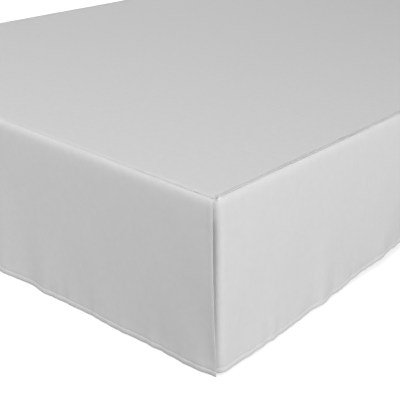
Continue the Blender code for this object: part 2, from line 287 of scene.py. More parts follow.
edge_tape, tree, shader = new_material("ribbed edge tape")
shader.inputs["Roughness"].default_value = 0.80
shader.inputs["Specular IOR Level"].default_value = 0.3
place = tree.nodes.new("ShaderNodeTexCoord").outputs["UV"]
ribs = add_node(tree, "ShaderNodeTexWave", Scale=1.0 / TAPE_RIB / math.tau * 2, Distortion=0.4)
tree.links.new(place, ribs.inputs["Vector"])
# painted shade in the rib grooves and painted highlight on the rib crests, following the ribs'
# bump
two_toned(tree, shader, ribs.outputs["Color"], TAPE_GROOVE_SHADE, TAPE_CREST_HIGHLIGHT)
raised(tree, shader, [(ribs.outputs["Fac"], TAPE_RIB_HEIGHT)])

tapes = (("upper", BASE_HIGH.z - TAPE_LEVEL, 1), ("lower", BASE_LOW.z + TAPE_LEVEL, -1))
for name, level, lean in tapes:
    rings = []
    for side in range(TAPE_SIDES):
        turn = math.tau * side / TAPE_SIDES
        across = TAPE_HALF_WIDTH * math.cos(turn)
        through = TAPE_HALF_THICKNESS * math.sin(turn)
        inward = (across + through) / math.sqrt(2)
        upward = (across - through) / math.sqrt(2) * lean
        plan = outline - ways * (TAPE_INSET + inward)
        rings.append(np.column_stack([plan, np.full(around, level + upward)]))
    rings.append(rings[0])
    faces = ring_faces(TAPE_SIDES + 1, around)
    faces = [tuple(index % (TAPE_SIDES * around) for index in face) for face in faces]
    if lean > 0:
        faces = [tuple(reversed(face)) for face in faces]
    tape = mesh_object(f"{name}_edge_tape", np.concatenate(rings[:-1]), faces, edge_tape)
    lengths = tape.data.uv_layers.new(name="UVMap").data
    for polygon in tape.data.polygons:
        corners = [(loop, tape.data.loops[loop].vertex_index % around)
                   for loop in polygon.loop_indices]
        at_start = any(station == 0 for _, station in corners)
        for loop, station in corners:
            place = run[station - 1] if station else 0.0
            wrapped = at_start and station == around - 1
            lengths[loop].uv = (place - run[-1] if wrapped else place, 0.0)
    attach(tape, "root")


# The foot panel: one straight drop of brushed microfibre, cut to the foot's width. Its
# bottom and its two free ends are turned over twice and topstitched, and it wraps both corners.
WIDTH = 1.524
LENGTH = 2.032
DROP = 0.381
SEAM_HEIGHT = 0.386
BED_MIDDLE = 0.0125
CLOTH = 0.0014
HEM = 0.0020  # thickness where the cloth is turned over
HEM_BAND = 0.012
COLUMN_SPACING = 0.0032
EDGE_COLUMN = 0.0006  # in from a cut end, a column of points that keeps it crisp
FOOT_LENGTH = 1.522
FOOT_SPREAD = (0.9935, 1.0080)  # the panel's width at the seam and at the hem
SPREAD_CURVE = 1.6
FOOT_CURL = 0.0010  # how much of each free end turns the corner
FOOT_RADIUS = 0.0045
LEAST_BEND = 0.1  # share of a corner's radius that the cloth's inside keeps

# Folds at the hem: place along, half width, how far out, share of the drop that they reach up
FOOT_FOLDS = (
    (0.055, 0.034, 0.0034, 0.45),
    (0.150, 0.040, -0.0008, 0.40),
    (0.245, 0.050, 0.0010, 0.35),
    (0.410, 0.050, -0.0010, 0.45),
    (0.503, 0.030, 0.0025, 0.40),
    (0.560, 0.030, -0.0010, 0.35),
    (0.660, 0.042, 0.0060, 0.70),
    (0.735, 0.034, -0.0030, 0.60),
    (0.870, 0.055, 0.0040, 0.45),
    (0.985, 0.050, -0.0035, 0.50),
    (1.110, 0.055, 0.0048, 0.60),
    (1.230, 0.045, -0.0028, 0.40),
    (1.345, 0.055, 0.0036, 0.45),
    (1.450, 0.034, -0.0024, 0.40),
)
# Place along, and there the hem's way out, the hem's lift, the seam's crown or the roll's size
FOOT_LEAN = ((0.00, -0.004), (0.12, 0.002), (0.30, 0.009), (0.52, 0.0185), (0.64, 0.0205),
             (0.95, 0.011), (1.52, -0.004))
FOOT_LIFT = ((0.00, 0.003), (0.10, 0.001), (0.35, 0.000), (0.70, -0.001), (1.52, 0.000))
FOOT_CROWN = ((0.00, 0.0004), (0.15, 0.0004), (0.40, 0.0014), (0.76, 0.0038), (1.52, 0.000))
FOOT_PUFF = ((0.00, 0.80), (0.20, 0.90), (0.50, 1.05), (0.70, 1.00), (1.10, 0.95), (1.52, 0.80))

# The seam's roll stands proud of the deck, and falls away over a soft shoulder
ROLL_RADIUS = 0.0035
ROLL_BACK = 40.0  # degrees from the crest down to the seam
ROLL_FRONT = 49.0  # degrees from the crest to the shoulder
ROLL_STEP = 12.0
SHOULDER_INSET = 0.0065
SHOULDER_DEPTH = 0.0075
SHOULDER_ROWS = (0.0012, 0.0026, 0.0042, 0.0062, 0.0088, 0.0120, 0.0160, 0.0205, 0.0255)
# Rows of points below it, closer together at the hem
HANG_DEPTHS = (*np.arange(0.0360, 0.348, 0.0104), 0.3510, 0.3560, 0.3600, 0.3635,
               0.3660, 0.3676, 0.3687, 0.3698, 0.3712, 0.3730, 0.3752, 0.3775, 0.3795, DROP)
# A hem's groove of stitches, and the puffed band beside it
HEM_GROOVE = 0.00065
HEM_GROOVE_WIDTH = 0.0013
HEM_PUFF = 0.0007
END_HEM_SHARE = 0.6  # an end's hem beside the bottom's
# Puckers drawn up by the bottom hem's stitches, and the wave that they ride on
HEM_PUCKER = 0.00075
HEM_PUCKER_PITCH = 0.0085
HEM_PUCKER_CHANGE = 0.060  # pitch at which the puckers grow and fade
HEM_WAVE = 0.0007
WAVE_PITCH = 0.021
HEM_PUCKER_TOP, HEM_PUCKER_FADE = 0.034, 0.022
RIPPLE = 0.0009
RIPPLE_TOP, RIPPLE_FADE = 0.110, 0.090
# Puckers of the ends' hems, and the gathers under the seam
END_PUCKER = 0.0003
END_PUCKER_PITCH = 0.012
END_PUCKER_TOP, END_PUCKER_FADE = 0.026, 0.014
SEAM_PUCKER = 0.00035
SEAM_PUCKER_PITCH = 0.0095
SEAM_PUCKER_START, SEAM_PUCKER_END = 0.003, 0.045
# Slack cloth below them: height, then pitch, slant and share of two slow waves
SLACK = 0.0008
SLACK_WAVES = ((0.075, 0.35, 1.0), (0.130, -0.50, 0.6))
SLACK_START = 0.5  # share of the drop over which the slack grows
# The hem's edge, a little ragged: height and pitch
RAGGED = ((0.0007, 0.016), (0.0006, 0.050))
RAGGED_REACH = 0.020

Panel = namedtuple("Panel", "name length plan lift crown puff dip seed")


def along_table(table, along):
    """The table's value at each place along the panel, curving evenly from row to row."""
    places, values = np.array(table).T
    row = np.clip(np.searchsorted(places, along) - 1, 0, len(places) - 2)
    share = smooth((along - places[row]) / (places[row + 1] - places[row]))
    return values[row] + share * (values[row + 1] - values[row])


def folds_out(folds, along, drop_share):
    """How far the folds together stand out of the panel's plane."""
    total = np.zeros(np.broadcast(along, drop_share).shape)
    for place, width, out, reach in folds:
        height = smooth((drop_share - 1.0 + reach) / reach)
        total += out * height * np.exp(-(((along - place) / width) ** 2))
    return total


def turned(distance, run, radius, out):
    """Forward and inward reach of a path that goes straight for run, then turns the corner."""
    turn = np.maximum(0.0, distance - run) / radius
    bend = np.maximum(radius + out, LEAST_BEND * radius)
    forward = np.minimum(distance, run) + bend * np.sin(turn)
    inward = bend * (1.0 - np.cos(turn)) - out
    return forward, inward


def foot_plan(along, inset, drop_share, relief=0.0):
    """Plan place of points on the foot panel's outer face."""
    out = along_table(FOOT_LEAN, along) * drop_share ** 2
    out = out + folds_out(FOOT_FOLDS, along, drop_share) - inset + relief
    spread = FOOT_SPREAD[0] + (FOOT_SPREAD[1] - FOOT_SPREAD[0]) * drop_share ** SPREAD_CURVE
    from_middle = (FOOT_LENGTH / 2 - along) * spread
    run = FOOT_LENGTH / 2 * spread - FOOT_CURL
    forward, inward = turned(np.abs(from_middle), run, FOOT_RADIUS, out)
    return np.copysign(forward, from_middle), BED_MIDDLE - LENGTH / 2 + inward


def seam_roll():
    """The roll and its shoulder from the seam out: inset from the face, depth, crown share."""
    crest_inset = SHOULDER_INSET + ROLL_RADIUS * math.sin(math.radians(ROLL_FRONT))
    crest_depth = -ROLL_RADIUS * (1.0 - math.cos(math.radians(ROLL_FRONT)))
    rows = []
    for angle in np.arange(-ROLL_BACK, ROLL_FRONT, ROLL_STEP):
        outward = ROLL_RADIUS * math.sin(math.radians(angle))
        fall = ROLL_RADIUS * (1.0 - math.cos(math.radians(angle)))
        rows.append((crest_inset - outward, crest_depth + fall, smooth(1.0 + angle / ROLL_BACK)))
    for depth in (0.0, *SHOULDER_ROWS):
        rows.append((SHOULDER_INSET * math.exp(-depth / SHOULDER_DEPTH), depth, 1.0))
    return np.array(rows)


def stitch_dip(distance):
    """The groove of the topstitching and the puffed band between it and the cloth's edge."""
    groove = np.exp(-(((distance - HEM_BAND) / HEM_GROOVE_WIDTH) ** 2))
    band = np.sin(math.pi * np.clip(distance / HEM_BAND, 0.0, 1.0))
    return HEM_PUFF * band - HEM_GROOVE * groove


def relief(panel, along, depth):
    """The cloth's small shapes: hems, puckers, the seam allowance and a slight slackness."""
    up = DROP - depth
    beside = np.minimum(along, panel.length - along)
    strength = 0.65 + 0.35 * uneven(panel.seed + 1, along, HEM_PUCKER_CHANGE)
    puckers = uneven(panel.seed, along, HEM_PUCKER_PITCH) * strength
    wave = uneven(panel.seed + 2, along, WAVE_PITCH)
    total = stitch_dip(up) + END_HEM_SHARE * stitch_dip(beside)
    near_hem = smooth((HEM_PUCKER_TOP - up) / HEM_PUCKER_FADE)
    total = total + near_hem * (HEM_PUCKER * puckers + HEM_WAVE * wave)
    total = total + RIPPLE * wave * smooth((RIPPLE_TOP - up) / RIPPLE_FADE)
    near_end = smooth((END_PUCKER_TOP - beside) / END_PUCKER_FADE)
    total = total + near_end * END_PUCKER * uneven(panel.seed + 3, depth, END_PUCKER_PITCH)
    below = np.maximum(depth, 0.0)
    gathered = smooth(below / SEAM_PUCKER_START) * (1.0 - smooth(below / SEAM_PUCKER_END))
    total = total + SEAM_PUCKER * gathered * uneven(panel.seed + 4, along, SEAM_PUCKER_PITCH)
    slow = 0.0
    for number, (pitch, slant, part) in enumerate(SLACK_WAVES):
        slow = slow + part * uneven(panel.seed + 5 + number, along + number + slant * below, pitch)
    return total + SLACK * slow * smooth(below / DROP / SLACK_START) * (1.0 - near_hem)


def panel_points(panel, along, inset, depth, crown_share=1.0):
    """Points on a panel's outer face, at places along it and depths below the deck."""
    share = np.maximum(depth, 0.0) / DROP
    x, y = panel.plan(along, inset, share, relief(panel, along, depth))
    z = SEAM_HEIGHT - depth + along_table(panel.lift, along) * share
    z = z + along_table(panel.crown, along) * crown_share * (1.0 - share) ** 2
    lap = 1.0 - smooth((along - LAP) / LAP_DIP_REACH)
    z = z - panel.dip * lap * (1.0 - smooth(depth / LAP_DIP_DEPTH))
    ragged = 0.0
    for number, (height, pitch) in enumerate(RAGGED):
        ragged = ragged + height * uneven(panel.seed + 7 + number, along, pitch)
    z = z + ragged * smooth((depth - DROP + RAGGED_REACH) / RAGGED_REACH)
    return np.stack([x, y, z], axis=-1)


def thicken(obj, hem_points):
    """Gives an outer face its cloth on the inside, thicker where it is turned over."""
    group = obj.vertex_groups.new(name="hem")
    group.add(list(range(len(obj.data.vertices))), CLOTH / HEM, "REPLACE")
    group.add(hem_points, 1.0, "REPLACE")
    cloth = obj.modifiers.new("Cloth", "SOLIDIFY")
    cloth.thickness = HEM
    cloth.offset = -1.0
    cloth.vertex_group = group.name


def cloth_uv(obj, places):
    """The piece's own map in metres: along the cloth and down it."""
    layer = obj.data.uv_layers.new(name="UVMap")
    corners = np.zeros(len(obj.data.loops), dtype=int)
    obj.data.loops.foreach_get("vertex_index", corners)
    layer.data.foreach_set("uv", places[corners].ravel())


def make_panel(panel, flip):
    """A hanging panel as a fine grid in the shape of its solid, its faces flipped to point out."""
    along = np.linspace(0.0, panel.length, round(panel.length / COLUMN_SPACING) + 1)
    along = np.sort(np.append(along, (EDGE_COLUMN, panel.length - EDGE_COLUMN)))[:, None]
    scale = along_table(panel.puff, along)
    below = np.broadcast_to(np.array(HANG_DEPTHS), (len(along), len(HANG_DEPTHS)))
    rows = len(SEAM_ROLL) + len(HANG_DEPTHS)
    shoulder = SHOULDER_INSET * scale * np.exp(-below / (SHOULDER_DEPTH * scale))
    inset = np.concatenate([SEAM_ROLL[:, 0] * scale, shoulder], axis=1)
    depth = np.concatenate([SEAM_ROLL[:, 1] * scale, below], axis=1)
    crown_share = np.concatenate([SEAM_ROLL[:, 2], np.ones(len(HANG_DEPTHS))])
    along = np.broadcast_to(along, depth.shape)
    points = panel_points(panel, along, inset, depth, crown_share)
    faces = []
    for column in range(len(points) - 1):
        for row in range(rows - 1):
            near, far = column * rows + row, (column + 1) * rows + row
            face = (near, near + 1, far + 1, far)
            faces.append(face[::-1] if flip else face)
    obj = mesh_object(panel.name + "_cloth", points.reshape(-1, 3), faces, microfibre)
    cloth_uv(obj, np.stack([along, depth], axis=-1).reshape(-1, 2))
    beside = np.minimum(along, panel.length - along) < HEM_BAND
    in_hem = (beside | (depth > DROP - HEM_BAND)).ravel()
    thicken(obj, np.flatnonzero(in_hem).tolist())
    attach(obj, "root")
    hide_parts(panel.name)
    return obj


MICROFIBRE = (0.745, 0.745, 0.745)
WEAVE_PITCH = 0.00055
WEAVE_HEIGHT = 0.00001
NAP_HEIGHT = 0.00005
CRINKLE_HEIGHT = 0.0006

microfibre, tree, shader = new_material("brushed microfibre")
shader.inputs["Roughness"].default_value = 0.92
shader.inputs["Specular IOR Level"].default_value = 0.22
shader.inputs["Sheen Weight"].default_value = 0.10
shader.inputs["Sheen Roughness"].default_value = 0.5
coordinates = tree.nodes.new("ShaderNodeTexCoord")
weave = add_node(tree, "ShaderNodeMath", "MULTIPLY")
threads = thread_waves(tree, coordinates.outputs["UV"], "XY", WEAVE_PITCH)
for running, socket in zip(threads, weave.inputs):
    tree.links.new(running, socket)
place = coordinates.outputs["Object"]
nap = noise_on(tree, place, Scale=750.0, Detail=4.0, Roughness=0.6)
brushing = noise_on(tree, place, Scale=70.0, Detail=5.0, Roughness=0.55)
crinkle = noise_on(tree, place, Scale=22.0, Detail=3.0, Roughness=0.5)
mottle = add_node(tree, "ShaderNodeMix")
mottle.data_type = "FLOAT"
mottle.inputs["Factor"].default_value = 0.4
tree.links.new(brushing, mottle.inputs["A"])
tree.links.new(nap, mottle.inputs["B"])
two_toned(tree, shader, mottle.outputs["Result"],
          shade_of(MICROFIBRE, 0.965), shade_of(MICROFIBRE, 1.03), (0.25, 0.75))
raised(tree, shader, [(weave.outputs[0], WEAVE_HEIGHT), (nap, NAP_HEIGHT),
                      (crinkle, CRINKLE_HEIGHT)])

# A side panel's lap behind the foot's free end: its length along the panel, and how far its
# seam dips there so that it lies under the foot's
LAP = 0.016
LAP_DIP = 0.0032
LAP_DIP_REACH = 0.007
LAP_DIP_DEPTH = 0.110

SEAM_ROLL = seam_roll()
foot = Panel("foot_panel", FOOT_LENGTH, foot_plan, FOOT_LIFT, FOOT_CROWN, FOOT_PUFF, 0.0, 100)
foot_cloth = make_panel(foot, True)


# The side panels: two drops like the foot's, one along each side. Each one starts behind
# the foot panel's free end, where the corner is split, and runs to the head.
SIDE_LENGTH = 2.036
# At the seam and lower down: the corner's radius, and how far back its lap lies
SIDE_RADIUS = (0.024, 0.018)
LAP_SETBACK = (0.005, 0.014)
CORNER_REACH = 0.20  # share of the drop from the seam down to the lower values
RIGHT_FOLDS = (
    (0.110, 0.040, 0.0018, 0.35),
    (0.200, 0.060, 0.0028, 0.40),
    (0.285, 0.044, 0.0027, 0.35),
    (0.377, 0.036, 0.0050, 0.55),
    (0.468, 0.040, -0.0006, 0.40),
    (0.548, 0.038, -0.0011, 0.35),
    (0.625, 0.034, 0.0013, 0.30),
    (0.745, 0.052, -0.0080, 0.45),
    (0.862, 0.052, 0.0058, 0.60),
    (0.985, 0.048, -0.0034, 0.40),
    (1.120, 0.062, 0.0050, 0.55),
    (1.268, 0.050, -0.0045, 0.45),
    (1.425, 0.056, 0.0048, 0.50),
    (1.580, 0.044, -0.0030, 0.35),
    (1.715, 0.052, 0.0040, 0.55),
    (1.850, 0.046, -0.0026, 0.40),
    (1.955, 0.036, 0.0030, 0.60),
)
LEFT_FOLDS = (
    (0.165, 0.048, 0.0040, 0.45),
    (0.290, 0.054, -0.0030, 0.40),
    (0.430, 0.050, 0.0056, 0.60),
    (0.575, 0.046, -0.0045, 0.45),
    (0.710, 0.056, 0.0034, 0.40),
    (0.890, 0.060, -0.0060, 0.45),
    (1.030, 0.046, 0.0052, 0.55),
    (1.175, 0.050, -0.0030, 0.35),
    (1.345, 0.058, 0.0044, 0.50),
    (1.500, 0.048, -0.0038, 0.40),
    (1.660, 0.052, 0.0050, 0.60),
    (1.800, 0.044, -0.0024, 0.35),
    (1.930, 0.040, 0.0036, 0.55),
)
RIGHT_LEAN = ((0.00, 0.0026), (0.15, 0.0028), (0.35, -0.0022), (0.60, -0.0037), (1.30, 0.004),
              (2.04, 0.000))
RIGHT_LIFT = ((0.00, 0.001), (0.18, 0.001), (0.30, 0.0005), (0.37, 0.0015), (0.46, 0.002),
              (0.55, 0.007), (0.66, 0.012), (0.82, 0.010), (1.30, 0.001), (2.04, 0.003))
RIGHT_CROWN = ((0.00, 0.000), (0.60, 0.000), (1.20, 0.002), (2.04, 0.000))
RIGHT_PUFF = ((0.00, 0.75), (0.20, 0.85), (0.42, 0.75), (1.00, 1.15), (1.50, 0.95), (2.04, 1.00))
LEFT_LEAN = ((0.00, 0.0040), (0.70, -0.0040), (1.40, 0.005), (2.04, 0.000))
LEFT_LIFT = ((0.00, 0.000), (0.80, 0.004), (1.50, 0.001), (2.04, 0.002))
LEFT_CROWN = ((0.00, 0.000), (0.50, 0.002), (1.10, 0.000), (1.60, 0.0015), (2.04, 0.000))
LEFT_PUFF = ((0.00, 0.80), (0.35, 1.20), (0.90, 0.95), (1.45, 1.25), (2.04, 1.00))


def seam_to_hem(pair, drop_share):
    """A corner measure that changes evenly from its value at the seam to its lower value."""
    return pair[0] + (pair[1] - pair[0]) * smooth(drop_share / CORNER_REACH)


def side_plan(lean, folds, sign):
    """A function giving plan places of points on one side panel's outer face."""

    def plan(along, inset, drop_share, relief=0.0):
        radius = seam_to_hem(SIDE_RADIUS, drop_share)
        setback = seam_to_hem(LAP_SETBACK, drop_share)
        out = along_table(lean, along) * drop_share ** 2
        out = out + folds_out(folds, along, drop_share) - inset + relief
        run = LENGTH - setback - radius
        forward, inward = turned(SIDE_LENGTH - along, run, radius, out)
        return sign * (WIDTH / 2 - inward), BED_MIDDLE + LENGTH / 2 - forward

    return plan


right = Panel("side_panel_right", SIDE_LENGTH, side_plan(RIGHT_LEAN, RIGHT_FOLDS, 1.0),
              RIGHT_LIFT, RIGHT_CROWN, RIGHT_PUFF, LAP_DIP, 200)
left = Panel("side_panel_left", SIDE_LENGTH, side_plan(LEFT_LEAN, LEFT_FOLDS, -1.0),
             LEFT_LIFT, LEFT_CROWN, LEFT_PUFF, LAP_DIP, 300)
right_cloth = make_panel(right, False)
left_cloth = make_panel(left, True)


# The deck: the flat platform cloth that lies on the box spring. The panels are sewn to its
# foot and its sides, and its head edge is hemmed.
RING_SPACING = 0.0045
SEAM_INSET = 0.012  # the seam's usual distance in from the panels' faces
DRAWN_REACH = 0.040  # in from the edge, where rings of points are no longer drawn in
DECK_RINGS = (0.0003, 0.0012, 0.0024, 0.0040, 0.0060, 0.0085, 0.0105, 0.0118, 0.0131, 0.0150,
              0.0180, 0.0220)
# The middle's grid of points, and how far it stays from the last ring and from its corners
GRID_SPACING = 0.016
GRID_LOW, GRID_HIGH = (-0.720, -0.970), (0.721, 1.001)
GRID_MARGIN = 0.008
GRID_CORNER = 0.020
# The cloth beside the seam, by its distance in: the allowance's ridge, a hollow, and the seam
RIDGE_HEIGHT = 0.0015
RIDGE_START, RIDGE_REACH = 0.0008, 0.0060
HOLLOW_DEPTH = 0.0014
HOLLOW_PLACE, HOLLOW_WIDTH = 0.0075, 0.0032
SEAM_DEPTH = 0.0005
SEAM_REACH = 0.0014
LAP_FADE = 0.010
GATHER_PITCH = 0.045
HEAD_HEM_PUCKER = 0.0002
HEAD_HEM_PITCH = 0.011
# The slack of the middle: height, and pitch across and along the bed
DECK_SLACK = 0.0003
DECK_SLACK_PITCH = (0.09, 0.12)
WRINKLE_BOW = 0.10  # how far a crease's ends curve away, as a share of its length
# Middle x and y, half length, half width, turn from the X axis in degrees, height
DECK_WRINKLES = (
    (0.52, -0.80, 0.22, 0.011, 128.0, 0.0016),
    (0.58, -0.62, 0.16, 0.009, 112.0, 0.0011),
    (-0.55, -0.78, 0.24, 0.012, 48.0, 0.0015),
    (-0.50, -0.55, 0.18, 0.010, 66.0, 0.0010),
    (0.10, -0.72, 0.30, 0.013, 8.0, 0.0009),
    (-0.22, -0.30, 0.34, 0.016, 96.0, 0.0010),
    (0.34, 0.05, 0.36, 0.015, 84.0, 0.0012),
    (-0.48, 0.35, 0.28, 0.012, 101.0, 0.0011),
    (0.50, 0.55, 0.26, 0.012, 74.0, 0.0012),
    (0.05, 0.62, 0.40, 0.016, 4.0, 0.0010),
    (-0.30, 0.84, 0.22, 0.011, 152.0, 0.0012),
    (0.40, 0.88, 0.20, 0.010, 30.0, 0.0010),
)


def deck_relief(x, y):
    """Soft creases and hollows of cloth that lies loose on a flat top."""
    height = np.zeros(np.shape(x))
    for middle_x, middle_y, length, width, turn, rise in DECK_WRINKLES:
        cosine, sine = math.cos(math.radians(turn)), math.sin(math.radians(turn))
        forward = (x - middle_x) * cosine + (y - middle_y) * sine
        bow = WRINKLE_BOW * forward ** 2 / length
        across = (y - middle_y) * cosine - (x - middle_x) * sine - bow
        fade = np.exp(-((forward / length) ** 4))
        height += rise * fade * np.exp(-((across / width) ** 2))
    pitch_x, pitch_y = DECK_SLACK_PITCH
    slack = uneven(41, x + 1.0 + 0.3 * y, pitch_x) * uneven(42, y + 1.5, pitch_y)
    return height + DECK_SLACK * (1.0 + slack)


def drawn_in(place, edge, extra):
    """A place moved by extra towards the deck's middle at an edge, and less further in."""
    share = np.clip(1.0 - (edge - np.abs(place)) / DRAWN_REACH, 0.0, 1.0)
    return place - np.sign(place) * extra * share


def stations(start, length):
    """Places along a panel, about a ring's spacing apart."""
    return np.linspace(start, length, round((length - start) / RING_SPACING) + 1)


def head_hem(start, end, extra):
    """Points across the deck's hemmed head edge, from one side panel's end to the other's."""
    span = np.linspace(start, end, round(WIDTH / RING_SPACING))[1:-1]
    level = np.full(len(span), BED_MIDDLE + LENGTH / 2 - extra)
    puckers = HEAD_HEM_PUCKER * uneven(43, span + 1.0, HEAD_HEM_PITCH)
    return np.stack([span, level, SEAM_HEIGHT + stitch_dip(extra) + puckers], axis=-1)


def beside_seam(panel, along, extra):
    """The deck's height beside its seam with a panel, at a distance in from the seam."""
    ridge = RIDGE_HEIGHT * (1.0 - smooth((extra - RIDGE_START) / RIDGE_REACH))
    hollow = HOLLOW_DEPTH * math.exp(-(((extra - HOLLOW_PLACE) / HOLLOW_WIDTH) ** 2))
    short = 0.3 * uneven(panel.seed + 4, along, SEAM_PUCKER_PITCH)
    pucker = 0.5 + short + 0.4 * uneven(panel.seed + 9, along, GATHER_PITCH)
    lap = (1.0 - smooth((along - LAP) / LAP_DIP_REACH)) * (1.0 - smooth(extra / LAP_FADE))
    seam = SEAM_DEPTH * (1.0 - smooth(extra / SEAM_REACH))
    return SEAM_HEIGHT - seam - panel.dip * lap + (ridge - hollow) * (0.7 + 0.5 * pucker)


def deck_ring(extra):
    """The deck's outline drawn in by extra, with each point's height, round from the foot."""
    parts = []
    runs = ((foot, stations(0.0, FOOT_LENGTH)), (left, stations(LAP, SIDE_LENGTH)),
            (right, stations(LAP, SIDE_LENGTH)[::-1]))
    for panel, along in runs:
        roll = SEAM_ROLL[0, 0] * along_table(panel.puff, along)
        x, y = panel.plan(along, roll, 0.0)
        x = drawn_in(x, WIDTH / 2 - SEAM_INSET, extra)
        y = BED_MIDDLE + drawn_in(y - BED_MIDDLE, LENGTH / 2 - SEAM_INSET, extra)
        if panel is right:
            parts.append(head_hem(parts[-1][-1][0], x[0], extra))
        parts.append(np.stack([x, y, beside_seam(panel, along, extra)], axis=-1))
    ring = np.concatenate(parts)
    ring[:, 2] += deck_relief(ring[:, 0], ring[:, 1]) * smooth(extra / DECK_RINGS[-1])
    return ring


rings = [deck_ring(extra) for extra in DECK_RINGS]
around = len(rings[0])
inner = rings[-1]
across, down = (np.arange(low, high, GRID_SPACING) for low, high in zip(GRID_LOW, GRID_HIGH))
grid = np.array([(x, y) for x in across for y in down])
low, high = inner[:, :2].min(axis=0) + GRID_MARGIN, inner[:, :2].max(axis=0) - GRID_MARGIN
inside = np.all((grid > low) & (grid < high), axis=1)
for side in (-1, 1):
    corner = np.array([side * (high[0] - GRID_CORNER), low[1] + GRID_CORNER])
    inside &= ~((side * grid[:, 0] > side * corner[0]) & (grid[:, 1] < corner[1]))
grid = grid[inside]
flat = [tuple(point) for point in np.concatenate([inner[:, :2], grid])]
edges = [(index, (index + 1) % around) for index in range(around)]
middle_faces, origins = delaunay_2d_cdt(flat, edges, [], 1, 1e-6)[2:4]
heights = SEAM_HEIGHT + deck_relief(grid[:, 0], grid[:, 1])
points = np.concatenate(rings + [np.column_stack([grid, heights])])
faces = [face[::-1] for face in ring_faces(len(rings), around)]
for face in middle_faces:
    members = [origins[index][0] for index in face]
    faces.append(tuple((len(rings) - 1) * around + member for member in members))
deck_cloth = mesh_object("deck_cloth", points, faces, microfibre)
cloth_uv(deck_cloth, points[:, :2])
thicken(deck_cloth, [])
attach(deck_cloth, "root")
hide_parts("deck")


# The topstitching: one row of matching polyester thread along each hem, a hem's width
# from the edge.
STITCH_PITCH = 0.0031
STITCH_LENGTH = 0.0025
THREAD_RADIUS = 0.00032
STITCH_UNEVENNESS = 0.12
STITCH_PATH_STEP = 0.002
END_STITCH_TOP = 0.022  # below the seam, where an end's stitches start
HEAD_STITCH_REACH = 0.742  # from the middle of the head edge to its last stitch
THREAD_WHITE = (0.73, 0.73, 0.735)
TWIST_HEIGHT = 0.00005

thread, tree, shader = new_material("matching thread")
shader.inputs["Base Color"].default_value = (*THREAD_WHITE, 1.0)
shader.inputs["Roughness"].default_value = 0.55
shader.inputs["Sheen Weight"].default_value = 0.2
place = tree.nodes.new("ShaderNodeTexCoord").outputs["Object"]
raised(tree, shader, [(noise_on(tree, place, Scale=1800.0, Detail=2.0), TWIST_HEIGHT)])


def stitch_tree():
    """Geometry Nodes that sew stitches along the edges of a mesh."""
    made = bpy.data.node_groups.new("topstitching", "GeometryNodeTree")
    nodes, link, socket = made.nodes, made.links.new, made.interface.new_socket
    inputs = {}
    socket("Geometry", in_out="INPUT", socket_type="NodeSocketGeometry")
    for name in ("Stitch Pitch", "Stitch Length", "Thread Radius", "Unevenness"):
        inputs[name] = socket(name, in_out="INPUT", socket_type="NodeSocketFloat")
    inputs["Thread"] = socket("Thread", in_out="INPUT", socket_type="NodeSocketMaterial")
    socket("Geometry", in_out="OUTPUT", socket_type="NodeSocketGeometry")
    given = nodes.new("NodeGroupInput")
    curve = nodes.new("GeometryNodeMeshToCurve")
    spaced = nodes.new("GeometryNodeResampleCurve")
    spaced.mode = "LENGTH"
    link(given.outputs["Geometry"], curve.inputs["Mesh"])
    link(curve.outputs["Curve"], spaced.inputs["Curve"])
    link(given.outputs["Stitch Pitch"], spaced.inputs["Length"])
    bead = add_node(made, "GeometryNodeMeshUVSphere", Segments=6, Rings=4, Radius=1.0)
    size = nodes.new("ShaderNodeCombineXYZ")
    half = add_node(made, "ShaderNodeMath", "MULTIPLY")
    half.inputs[1].default_value = 0.5
    link(given.outputs["Stitch Length"], half.inputs[0])
    link(given.outputs["Thread Radius"], size.inputs["X"])
    link(given.outputs["Thread Radius"], size.inputs["Y"])
    link(half.outputs[0], size.inputs["Z"])
    stitch = nodes.new("GeometryNodeTransform")
    link(bead.outputs["Mesh"], stitch.inputs["Geometry"])
    link(size.outputs["Vector"], stitch.inputs["Scale"])
    facing = nodes.new("FunctionNodeAlignRotationToVector")
    facing.axis = "Z"
    link(nodes.new("GeometryNodeInputTangent").outputs["Tangent"], facing.inputs["Vector"])
    chance = add_node(made, "FunctionNodeRandomValue", Seed=7)
    chance.data_type = "FLOAT"
    least = add_node(made, "ShaderNodeMath", "SUBTRACT")
    least.inputs[0].default_value = 1.0
    link(given.outputs["Unevenness"], least.inputs[1])
    link(least.outputs[0], chance.inputs[2])
    chance.inputs[3].default_value = 1.0
    sewn = nodes.new("GeometryNodeInstanceOnPoints")
    link(spaced.outputs["Curve"], sewn.inputs["Points"])
    link(stitch.outputs["Geometry"], sewn.inputs["Instance"])
    link(facing.outputs["Rotation"], sewn.inputs["Rotation"])
    link(chance.outputs[1], sewn.inputs["Scale"])
    whole = nodes.new("GeometryNodeRealizeInstances")
    rounded = nodes.new("GeometryNodeSetShadeSmooth")
    finish = nodes.new("GeometryNodeSetMaterial")
    result = nodes.new("NodeGroupOutput")
    link(sewn.outputs["Instances"], whole.inputs["Geometry"])
    link(whole.outputs["Geometry"], rounded.inputs["Geometry"])
    link(rounded.outputs["Geometry"], finish.inputs["Geometry"])
    link(given.outputs["Thread"], finish.inputs["Material"])
    link(finish.outputs["Geometry"], result.inputs["Geometry"])
    return made, inputs


topstitching, stitch_inputs = stitch_tree()


